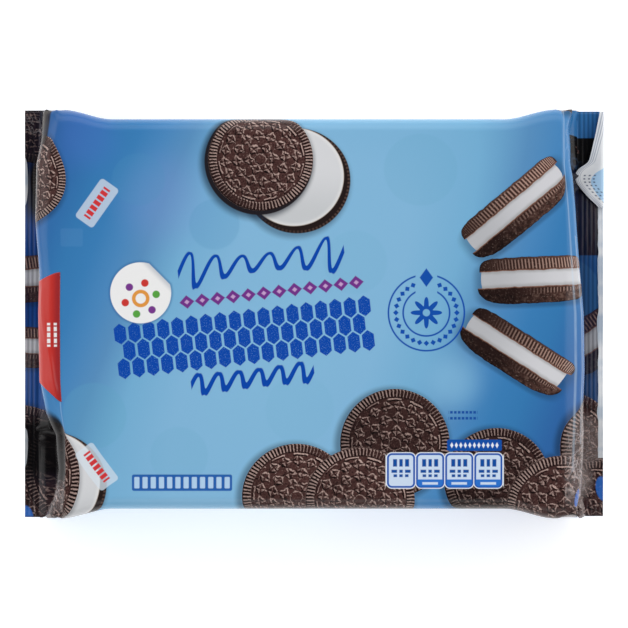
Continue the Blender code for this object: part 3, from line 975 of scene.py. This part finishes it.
# A round seal: two rings, a ring of beads between them, a rosette, and a lozenge on top
_, x, y = around(ink, place, (43.5, 0.5))
r = formula(ink, "sqrt(x * x + y * y)", x=x, y=y)
angle = formula(ink, "atan2(y, x)", x=x, y=y)
rings = formula(ink, "min(abs(r - 14.7), abs(r - 9.0)) - 0.32", r=r)
bead = formula(ink, "(angle * 28 / 6.2832 - round(angle * 28 / 6.2832)) * 2.67", angle=angle)
bead = formula(ink, "abs(r - 11.8) + abs(b) - 1.1", r=r, b=bead)
top_gap = formula(ink, "4.2 - abs(x) - max(0, 6 - y) * 9", x=x, y=y)
rings = formula(ink, "max(min(rings, bead), gap)", rings=rings, bead=bead, gap=top_gap)
rosette = formula(ink, "r - 4.4 - 1.7 * cos(angle * 8)", r=r, angle=angle)
rosette = formula(ink, "max(rosette, 1.4 - r)", rosette=rosette, r=r)
lozenge = formula(ink, "(abs(x) / 2.6 + abs(y - 13.6) / 3.6 - 1) * 2", x=x, y=y)
seal = formula(ink, "min(min(rings, rosette), lozenge)", rings=rings, rosette=rosette,
               lozenge=lozenge)
colour = paint(ink, colour, "1550ac", inked(ink, seal))

# A white round sticker, its upper right edge lifting
_, x, y = around(ink, place, (-67.1, 8.2))
r = formula(ink, "sqrt(x * x + y * y)", x=x, y=y)
disc = formula(ink, "max(r - 11.8, (x + y - 14.6) * 0.7)", r=r, x=x, y=y)
shadow_disc = formula(ink, "sqrt((x - 0.2) ** 2 + (y + 0.5) ** 2) - 11.9",
                      x=formula(ink, "x + 30", x=x), y=y)
colour = paint(ink, colour, "2a5f9c", ramp(ink, disc, 0.0, 1.3, 0.55, 0.0))
sticker = paint(ink, linear("f2f2f2"), "c9ccd2", ramp(ink, formula(ink, "x + y", x=x, y=y),
                                                     11.0, 14.5, 0.0, 0.9))
colour = paint(ink, colour, sticker, inked(ink, disc))
_, x, y = around(ink, place, (-67.1, 6.0))
bowl = formula(ink, "max(sqrt(x * x + y * y) - 3.4, 2.0 - sqrt(x * x + y * y))", x=x, y=y)
colour = paint(ink, colour, "e59a45", inked(ink, bowl))
for turn, shade in ((15, "5aa646"), (75, "cf3b36"), (135, "7a3b8f"), (195, "cf3b36"),
                    (255, "5aa646"), (315, "7a3b8f")):
    dot = (-67.1 + 6.2 * math.cos(math.radians(turn)), 6.0 + 6.2 * math.sin(math.radians(turn)))
    away = node(ink, "VectorMath", place, (*dot, 0), operation="DISTANCE")
    colour = paint(ink, colour, shade, inked(ink, formula(ink, "d - 1.45", d=away)))

# A row of pale blocks with blue outlines, low on the left
_, x, y = around(ink, place, (-51.1, -65.8))
BLOCK_PITCH = 3.18
step = formula(ink, "x - (floor(x / p) + 0.5) * p", x=x, p=BLOCK_PITCH)
frame_line = box_distance(ink, x, y, 19.4, 3.3, 0.8)
block = box_distance(ink, step, y, 1.0, 2.3, 0.4)
colour = paint(ink, colour, "2a62ae", inked(ink, frame_line))
colour = paint(ink, colour, "b4d3f0", inked(ink, formula(ink, "max(b, abs(x) - 19.1)", b=block, x=x)))

# Two fine dashed lines, and a panel with a row of dots over four barrel boxes
_, x, y = around(ink, place, (57.7, -39.2))
dash = formula(ink, "abs(x - round(x / 1.5) * 1.5) - 0.5", x=x)
lines = formula(ink, "max(max(dash, abs(abs(y) - 1.15) - 0.5), abs(x) - 5.6)", dash=dash, x=x, y=y)
colour = paint(ink, colour, "1c4f9f", inked(ink, lines))
_, x, y = around(ink, place, (62.1, -50.8))
panel = box_distance(ink, x, y, 10.6, 2.2, 0.6)
colour = paint(ink, colour, "1450a8", inked(ink, panel))
dots = formula(ink, "abs(x - round(x / 1.75) * 1.75) + abs(y) * 0.55 - 0.62", x=x, y=y)
colour = paint(ink, colour, "eaf1fa", inked(ink, formula(ink, "max(d, abs(x) - 9.6)", d=dots, x=x)))
_, x, y = around(ink, place, (50.6, -60.9))
BARREL_PITCH = 11.27
barrel = formula(ink, "floor(x / p)", x=x, p=BARREL_PITCH)
step = formula(ink, "x - (b + 0.5) * p", x=x, b=barrel, p=BARREL_PITCH)
bulge = formula(ink, "5.6 - 0.012 * y * y", y=y)
body = formula(ink, "max(abs(s) - b, sqrt((s * 0.22) ** 2 + y * y) - 7.1)", b=bulge, y=y, s=formula(
    ink, "abs(s)", s=step))
body = box_distance(ink, step, y, 5.45, 7.0, 2.0)
inside = formula(ink, "max(b, abs(x) - 2 * p)", b=body, x=x, p=BARREL_PITCH)
colour = paint(ink, colour, "eef4fb", inked(ink, formula(ink, "i - 0.35", i=inside)))
colour = paint(ink, colour, "1b55b0", inked(ink, inside))
colour = paint(ink, colour, "cfe0f5", inked(ink, formula(ink, "i + 0.75", i=inside)))
cap = formula(ink, "max(max(i + 0.5, y + 3.6), -b - 1.5)", i=inside, y=y, b=barrel)
colour = paint(ink, colour, "2f74cf", inked(ink, cap))
bars = formula(ink, "min(max(abs(s) - 3.1, abs(y - 3.1) - 1.5), max(abs(s) - 3.7, abs(y + 0.3) - 0.62))",
               s=step, y=y)
bars = formula(ink, "min(bars, max(abs(s) - 2.9, abs(y + 2.1) - 0.55))", bars=bars, s=step, y=y)
notch = formula(ink, "0.45 - abs(abs(s) - 1.1)", s=step)
bars = formula(ink, "max(max(bars, notch), i + 0.6)", bars=bars, notch=notch, i=inside)
colour = paint(ink, colour, "174f9f", inked(ink, bars))
cap_bar = formula(ink, "max(max(abs(s) - 3.0, abs(y + 5.2) - 0.5), max(-b - 1.5, i + 0.6))",
                  s=step, y=y, b=barrel, i=inside)
colour = paint(ink, colour, "cfe0f5", inked(ink, cap_bar))

# Two see-through pale stamps with a slitted red bar
for centre, turn in (((-84.0, 42.9), 54.6), ((-84.1, -59.2), -54.6)):
    _, x, y = around(ink, place, centre, turn)
    stamp = box_distance(ink, x, y, 9.1, 4.2, 1.3)
    colour = paint(ink, colour, "dde9f4", formula(ink, "m * 0.62", m=inked(ink, stamp)))
    slit = formula(ink, "0.32 - abs(x - round(x / 2.3) * 2.3)", x=formula(ink, "x + 1.15", x=x))
    bar = formula(ink, "max(max(abs(x) - 6.9, abs(y) - 1.45), slit)", x=x, y=y, slit=slit)
    colour = paint(ink, colour, "d2383c", inked(ink, bar))

# Painted shade round the end edges: the print is darkened towards the seals, where the film lies in shade
LEFT_CUT = LEFT.tray + LEFT.drop + LEFT.run
RIGHT_CUT = RIGHT.tray + RIGHT.drop + RIGHT.run
_, x, y = around(ink, place, (0.0, 0.0))
streaks = node(ink, "TexNoise", node(ink, "VectorMath", place, (1.0, 0.12, 1.0),
                                     operation="MULTIPLY"), None, 0.9, 3.0, 0.6)
specks = node(ink, "TexNoise", place, None, 0.7, 4.0, 0.65)
# A dark side-on sandwich printed on the right fin, with painted shade darkening it towards the top of the fin
side_on = box_distance(ink, formula(ink, "x - 131", x=x), formula(ink, "y - 46", y=y), 22.0, 23.5, 7.0)
dark_print_and_shade = paint(ink, linear("120c0b"), "3c2a22", ramp(ink, streaks, 0.42, 0.66))
dark_print_and_shade = paint(ink, dark_print_and_shade, "0c0a0c", ramp(ink, y, 40.0, 60.0))
colour = paint(ink, colour, dark_print_and_shade, formula(ink, "m * (x > 104)", m=inked(ink, side_on), x=x))
shade_right = ramp(ink, x, RIGHT.tray + 4, RIGHT.tray + 14, 0.0, 0.55)
shade_right = formula(ink, "s - t", s=shade_right, t=ramp(ink, x, RIGHT_CUT - 10, RIGHT_CUT - 3, 0.0, 0.25))
shade_left = ramp(ink, x, -LEFT.tray - 14, -LEFT.tray - 4, 0.40, 0.0)
shade_left = formula(ink, "s - t", s=shade_left, t=ramp(ink, x, 3 - LEFT_CUT, 10 - LEFT_CUT, 0.25, 0.0))
plain_right = ramp(ink, y, -35.0, -30.0)      # the lower right corner is crushed and lies open
shade_right = formula(ink, "s * (0.1 + 0.9 * p) * t", s=shade_right, p=plain_right,
                      t=ramp(ink, y, 57.0, 62.0, 1.0, 0.0))
shade_left = formula(ink, "s * p", s=shade_left, p=ramp(ink, y, -70.0, -62.0, 0.25, 1.0))
colour = paint(ink, colour, "0a2048", formula(ink, "max(0, max(a, b)) * (abs(y) < 84)",
                                              a=shade_right, b=shade_left, y=y))
# Painted shade: soft black blots where the film folds into deep shade at the ends, over dark print
for centre, half_x, half_y, depth in (((-121.0, 49.0), 12.5, 13.0, 0.92), ((-118.5, -51.5), 18.5, 13.5, 0.96),
                                      ((126.0, 55.0), 20.0, 9.0, 0.5)):
    shade_blot = box_distance(ink, formula(ink, "x - c", x=x, c=centre[0]),
                        formula(ink, "y - c", y=y, c=centre[1]), half_x, half_y, 9.0)
    blur = ramp(ink, x, -112.0, -103.0, 4.0, 1.4)
    colour = paint(ink, colour, "080607",
                   ramp(ink, formula(ink, "b / s", b=shade_blot, s=blur), -1.0, 1.0, depth, 0.0))
corner_shade = formula(ink, "a * b * c", a=ramp(ink, x, -105.8, -104.9, 0.92, 0.0),
                       b=ramp(ink, y, 61.0, 68.0), c=ramp(ink, x, -127.0, -121.0))
colour = paint(ink, colour, "150d0b", corner_shade)

# Painted shade in the jaws' grooves across the fins
FIN_ROOTS = (RIGHT_CUT - RIGHT.run + LEFT_CUT - LEFT.run) / 2, (RIGHT_CUT - RIGHT.run - LEFT_CUT + LEFT.run) / 2
on_fin = formula(ink, "abs(x - c) - root", x=x, c=FIN_ROOTS[1], root=FIN_ROOTS[0])
groove = formula(ink, "(0.5 - 0.5 * cos(s * k)) * (s > 0.2)", s=on_fin, k=2 * math.pi / CRIMP_PITCH)
colour = paint(ink, colour, "05080e", formula(ink, "g * 0.4 * max(p, x < 0)", g=groove, p=plain_right, x=x))

# Small gaps between the biscuits at the corners let the blue through
for centre, turn, half_x, half_y in (((101.6, -69.4), -14.0, 1.2, 3.3), ((132.0, -69.5), 12.0, 2.6, 4.4),
                                     ((-133.0, -80.0), 0.0, 3.4, 5.0)):
    _, gap_x, gap_y = around(ink, place, centre, turn)
    gap = formula(ink, "sqrt((x / a) ** 2 + (y / b) ** 2) - 1", x=gap_x, y=gap_y, a=half_x, b=half_y)
    colour = paint(ink, colour, "2f6cc4", ramp(ink, gap, -0.1, 0.1, 0.9, 0.0))

# Painted highlights on fine creases where the film bends over the tray's ends
for crease, low, high in ((99.6, -60.0, 78.0), (102.6, -50.0, 30.0), (-99.2, -52.0, -34.0)):
    line = formula(ink, "max(abs(x - c - 0.004 * y) - 0.10, max(low - y, y - high))",
                   x=x, y=y, c=crease, low=low, high=high)
    colour = paint(ink, colour, "c4dcf2", formula(ink, "m * 0.34 * (0.3 + w)", w=streaks,
                                                  m=ramp(ink, line, 0.5, 0.0)))

# At the corners the film is crushed into fine crinkles: a bump gives their relief, and their catch-lights are
# painted highlights in pale colours
CRINKLES = [((105.0, -56.0), 10.0, 22.0, 0.65), ((114.0, -66.0), 16.0, 12.0, 0.9),
            ((126.0, -50.0), 9.0, 14.0, 0.35),
            ((-113.0, -68.0), 12.0, 9.0, 0.5), ((-125.0, 74.0), 14.0, 5.0, 0.4),
            ((110.0, 68.0), 12.0, 10.0, 0.22)]
# Wrinkles fan out from both right-hand corners of the tray, drawn as painted highlight lines and raised by the
# bump: (centre, up or down, colour, strength)
FANS = [((101.0, -54.0), -1.0, "b4a8a5", 0.4), ((100.0, 56.0), 1.0, "78aae0", 0.28)]
fan_height = 0.0
warp = node(ink, "TexNoise", place, None, 0.11, 2.0, 0.5)
for centre, way, shade, strength in FANS:
    fan = formula(ink, "atan2((y - cy) * way, x - cx)", x=x, y=y, cx=centre[0], cy=centre[1], way=way)
    far = formula(ink, "sqrt((x - cx) ** 2 + (y - cy) ** 2)", x=x, y=y, cx=centre[0], cy=centre[1])
    wrinkle = ramp(ink, formula(ink, "abs(sin(fan * 5.5 + 9 * warp + 0.05 * far))", fan=fan, warp=warp, far=far),
                   0.03, 0.30, 1.0, 0.0)
    reach = formula(ink, "a * b * (fan > -0.3)", fan=fan, a=ramp(ink, far, 1.0, 5.0),
                    b=ramp(ink, far, 12.0, 26.0, strength, 0.0))
    shown = formula(ink, "w * k * (x > 97)", w=wrinkle, k=reach, x=x)
    colour = paint(ink, colour, shade, shown)
    fan_height = formula(ink, "h + s", h=fan_height, s=shown)
# Painted highlight: a pale band along a crease low on the right end edge
crease_highlight = box_distance(ink, formula(ink, "x - 102.2 + 0.03 * y", x=x, y=y),
                           formula(ink, "y + 46", y=y), 1.3, 11.0, 1.2)
colour = paint(ink, colour, "a0938f", ramp(ink, crease_highlight, -0.8, 0.8, 0.35, 0.0))

crush = node(ink, "TexNoise", place, None, 0.32, 3.0, 0.62, None, 1.2)
folds = node(ink, "TexNoise", place, None, 0.13, 2.0, 0.5, None, 1.6)
ridges = ramp(ink, formula(ink, "abs(c - 0.5)", c=crush), 0.0, 0.022, 1.0, 0.0)
ridges = formula(ink, "max(r, f)", r=ridges,
                 f=ramp(ink, formula(ink, "abs(c - 0.5)", c=folds), 0.0, 0.02, 0.9, 0.0))
crinkled = 0.0
for centre, half_x, half_y, strength in CRINKLES:
    spot = formula(ink, "sqrt(((x - cx) / a) ** 2 + ((y - cy) / b) ** 2)", x=x, y=y,
                   cx=centre[0], cy=centre[1], a=half_x, b=half_y)
    crinkled = formula(ink, "max(c, s)", c=crinkled, s=ramp(ink, spot, 0.55, 1.0, strength, 0.0))
colour = paint(ink, colour, "8c7f7b", formula(ink, "k * 0.3 * (y < 0) * (x > 0)", k=crinkled, x=x, y=y))
colour = paint(ink, colour, "b6aaa6", formula(ink, "k * 0.5 * c * (y < 0)", c=crinkled, y=y,
                                              k=ramp(ink, x, 105.0, 112.0)))
colour = paint(ink, colour, "c0b8ba", formula(ink, "r * k * 0.85", r=ridges, k=crinkled))

# Where the fins are cut, some of the film's white inner side shows
waver = node(ink, "TexNoise", node(ink, "VectorMath", place, (0.0, 1.0, 0.0),
                                   operation="MULTIPLY"), None, 0.09, 2.0, 0.5)
bare_right = formula(ink, "(x > cut - 2.0 - 2.4 * (w - 0.5)) * (y < 41) * (y > -57)",
                     x=x, y=y, cut=RIGHT_CUT, w=waver)
bare_left = formula(ink, "((x + cut) / 1.2) ** 2 + ((abs(y) - 52) / 9) ** 2 < 1", x=x, y=y, cut=LEFT_CUT)
bare = paint(ink, linear("e8eaec"), "a9bccf", ramp(ink, waver, 0.40, 0.62, 0.0, 0.7))
colour = paint(ink, colour, bare, formula(ink, "max(a, b * 0.6)", a=bare_right, b=bare_left))

# The back: white, with a pale blue field, a ruled panel and blocks of plain dashes
BACK_START = 119.0                  # across the film, where the sides meet the back
_, x, y = around(ink, place, (0.0, 0.0))
back_edge = formula(ink, "b + 2.5 * sin(x / 14) - abs(y)", b=BACK_START + 3, y=y, x=x)
back = paint(ink, linear("eceff3"), "b9d8ef", ramp(ink, formula(ink, "x + 0.4 * y", x=x, y=y),
                                                   60.0, 72.0, 0.0, 1.0))
back = paint(ink, back, "2f6fb4", inked(ink, formula(ink, "abs(e + 2) - 0.7", e=back_edge)))
for centre, half_x, half_y in (((-52.0, 155.0), 36.0, 24.0), ((38.0, 155.0), 34.0, 22.0),
                               ((-20.0, -152.0), 60.0, 18.0)):
    block_x = formula(ink, "x - c", x=x, c=centre[0])
    block_y = formula(ink, "y - c", y=y, c=centre[1])
    block = box_distance(ink, block_x, block_y, half_x, half_y, 1.0)
    row = formula(ink, "floor(y / 3.4)", y=block_y)
    within = formula(ink, "y / 3.4 - r - 0.5", y=block_y, r=row)
    length = formula(ink, "7.5 + 3.5 * sin(r * 2.4)", r=row)
    dash = formula(ink, "abs(x / l - round(x / l)) * l - 0.42 * l", x=block_x, l=length)
    dash = formula(ink, "max(max(d, abs(w) * 3.4 - 0.75), b + 2.2)", d=dash, w=within, b=block)
    back = paint(ink, back, "fbfcfd", inked(ink, block))
    back = paint(ink, back, "47689a", inked(ink, dash))
    back = paint(ink, back, "24508f", inked(ink, formula(ink, "abs(b + 0.4) - 0.35", b=block)))
colour = paint(ink, colour, back, inked(ink, back_edge))

# White film where it is cut
colour = paint(ink, colour, "dfe3e8", formula(ink, "e > 0.5", e=cut_edge))
ink.links.new(colour, gloss.inputs["Base Color"])
relief_height = formula(ink, "0.06 * crush * crinkled + 0.16 * fan", crush=crush, crinkled=crinkled,
                        fan=fan_height)
bump = node(ink, "Bump", 1.0, MM, None, relief_height)
ink.links.new(bump, gloss.inputs["Normal"])
gloss.inputs["Roughness"].default_value = 0.24
gloss.inputs["IOR"].default_value = 1.36
film.data.materials.append(printed)


# ---- Small parts' finishes --------------------------------------------------------------
# The seam and the curled corner show the film's white side; the tab is a red glossy label.

def gloss_material(name, roughness):
    """A glossy plastic, its shader and its tree."""
    made = bpy.data.materials.new(name)
    made.use_nodes = True
    shader = made.node_tree.nodes["Principled BSDF"]
    shader.inputs["Roughness"].default_value = roughness
    shader.inputs["IOR"].default_value = 1.49
    return made, made.node_tree, shader


reverse, tree, shader = gloss_material("white_backed_bopp_film", 0.32)
spot_place = node(tree, "Attribute", attribute_name="film").node.outputs["Vector"]
x, y, side = node(tree, "SeparateXYZ", spot_place).node.outputs
shade = paint(tree, linear("e9ebee"), "a9cdec",
              formula(tree, "(x > 4.6 + 0.25 * (y - 50)) * (y < 57)", x=x, y=y))
layers = formula(tree, "min(abs(x - 0.5), min(abs(x - 1.0), abs(x - 1.6) + 0.05)) - 0.10", x=x)
shade = paint(tree, shade, "5d7090", formula(tree, "m * 0.8", m=inked(tree, layers)))
marks = formula(tree, "max(abs(x - round(x / 1.5) * 1.5) - 0.28, 0.42 - abs(y - round(y / 1.3) * 1.3))",
                x=x, y=y)
shade = paint(tree, shade, "2b3c63", formula(tree, "m * (y < 54.5) * (x > 2.5) * (x < 7)",
                                             m=inked(tree, marks), x=x, y=y))
shade = paint(tree, shade, "2a5a94", formula(tree, "side > 0.5", side=side))
tree.links.new(shade, shader.inputs["Base Color"])
folded_corner.data.materials.append(reverse)

seam_film, tree, shader = gloss_material("white_seam_bopp_film", 0.32)
shader.inputs["Base Color"].default_value = linear("dfe6ee")
back_seam.data.materials.append(seam_film)

label, tree, shader = gloss_material("red_polypropylene_label", 0.36)
label_place = node(tree, "Attribute", attribute_name="film").node.outputs["Vector"]
x, y, side = node(tree, "SeparateXYZ", label_place).node.outputs
# Painted shade: the label is darker red along its inner strip on the printed face
shade = paint(tree, linear("c62c24"), "9a2025", ramp(tree, x, 4.4, 0.6))
bars = formula(tree, "max(abs(abs(x - 3.3) - 1.35) - 0.62, abs(y + 8.0) - 4.6)", x=x, y=y)
slit = formula(tree, "0.3 - abs(y - round(y / 2.3) * 2.3)", y=y)
bars = formula(tree, "max(bars, slit)", bars=bars, slit=slit)
shade = paint(tree, shade, "f0eeee", inked(tree, bars))
shade = paint(tree, shade, "f4f4f4", formula(tree, "side > 0.5", side=side))
tree.links.new(shade, shader.inputs["Base Color"])
pull_tab.data.materials.append(label)

# ---- Floor, light and camera ------------------------------------------------------------
VIEW_WIDTH = 244.9 * MM             # what the picture's width takes in at the film's mid height
CAMERA_HEIGHT = 3.0
SKY_SIDE, SKY_TOP = 0.40, 0.04      # the room's light is darkest overhead, so nothing glares

bpy.ops.mesh.primitive_plane_add(size=6, location=(0, 0, 0))
floor = bpy.context.object
floor.name = "floor"


paper = bpy.data.materials.new("white_paper_sweep")
paper.use_nodes = True
paper.node_tree.nodes["Principled BSDF"].inputs["Base Color"].default_value = (1, 1, 1, 1)
paper.node_tree.nodes["Principled BSDF"].inputs["Roughness"].default_value = 0.9
paper.node_tree.nodes["Principled BSDF"].inputs["Emission Color"].default_value = (1, 1, 1, 1)
paper.node_tree.nodes["Principled BSDF"].inputs["Emission Strength"].default_value = 0.4
floor.data.materials.append(paper)

world = bpy.data.worlds.new("studio")
bpy.context.scene.world = world
world.use_nodes = True
sky = world.node_tree
height = node(sky, "SeparateXYZ", node(sky, "TexCoord")).node.outputs["Z"]
shade = ramp(sky, height, 0.55, 0.9, SKY_SIDE, SKY_TOP)
sky.links.new(shade, sky.nodes["Background"].inputs["Strength"])
sky.nodes["Background"].inputs["Color"].default_value = (1, 1, 1, 1)


def softbox(name, place, aim, size, power):
    """A large square studio light."""
    light = bpy.data.lights.new(name, "AREA")
    light.shape = "RECTANGLE"
    light.size, light.size_y = size
    light.energy = power
    lamp = bpy.data.objects.new(name, light)
    lamp.location = place
    lamp.rotation_euler = (Vector(aim) - Vector(place)).to_track_quat("-Z", "Y").to_euler()
    bpy.context.collection.objects.link(lamp)


softbox("back_softbox", (0.0, 1.3, 1.1), (0, 0, 0), (3.0, 1.5), 18.4)
softbox("right_softbox", (1.4, 0.1, 1.0), (0, 0, 0), (1.1, 1.9), 10.2)
softbox("left_softbox", (-1.4, 0.2, 1.1), (0, 0, 0), (1.1, 1.9), 9.1)
softbox("front_softbox", (0.0, -1.3, 1.3), (0, 0, 0), (2.2, 1.1), 8.2)

lens = bpy.data.cameras.new("camera")
lens.sensor_width = 36.0
lens.lens = 36.0 * (CAMERA_HEIGHT - FACE_HEIGHT * MM / 2) / VIEW_WIDTH
lens.clip_end = 20
camera = bpy.data.objects.new("camera", lens)
camera.location = (0, 0, CAMERA_HEIGHT)
bpy.context.collection.objects.link(camera)
bpy.context.scene.camera = camera
bpy.context.scene.view_settings.view_transform = "Standard"
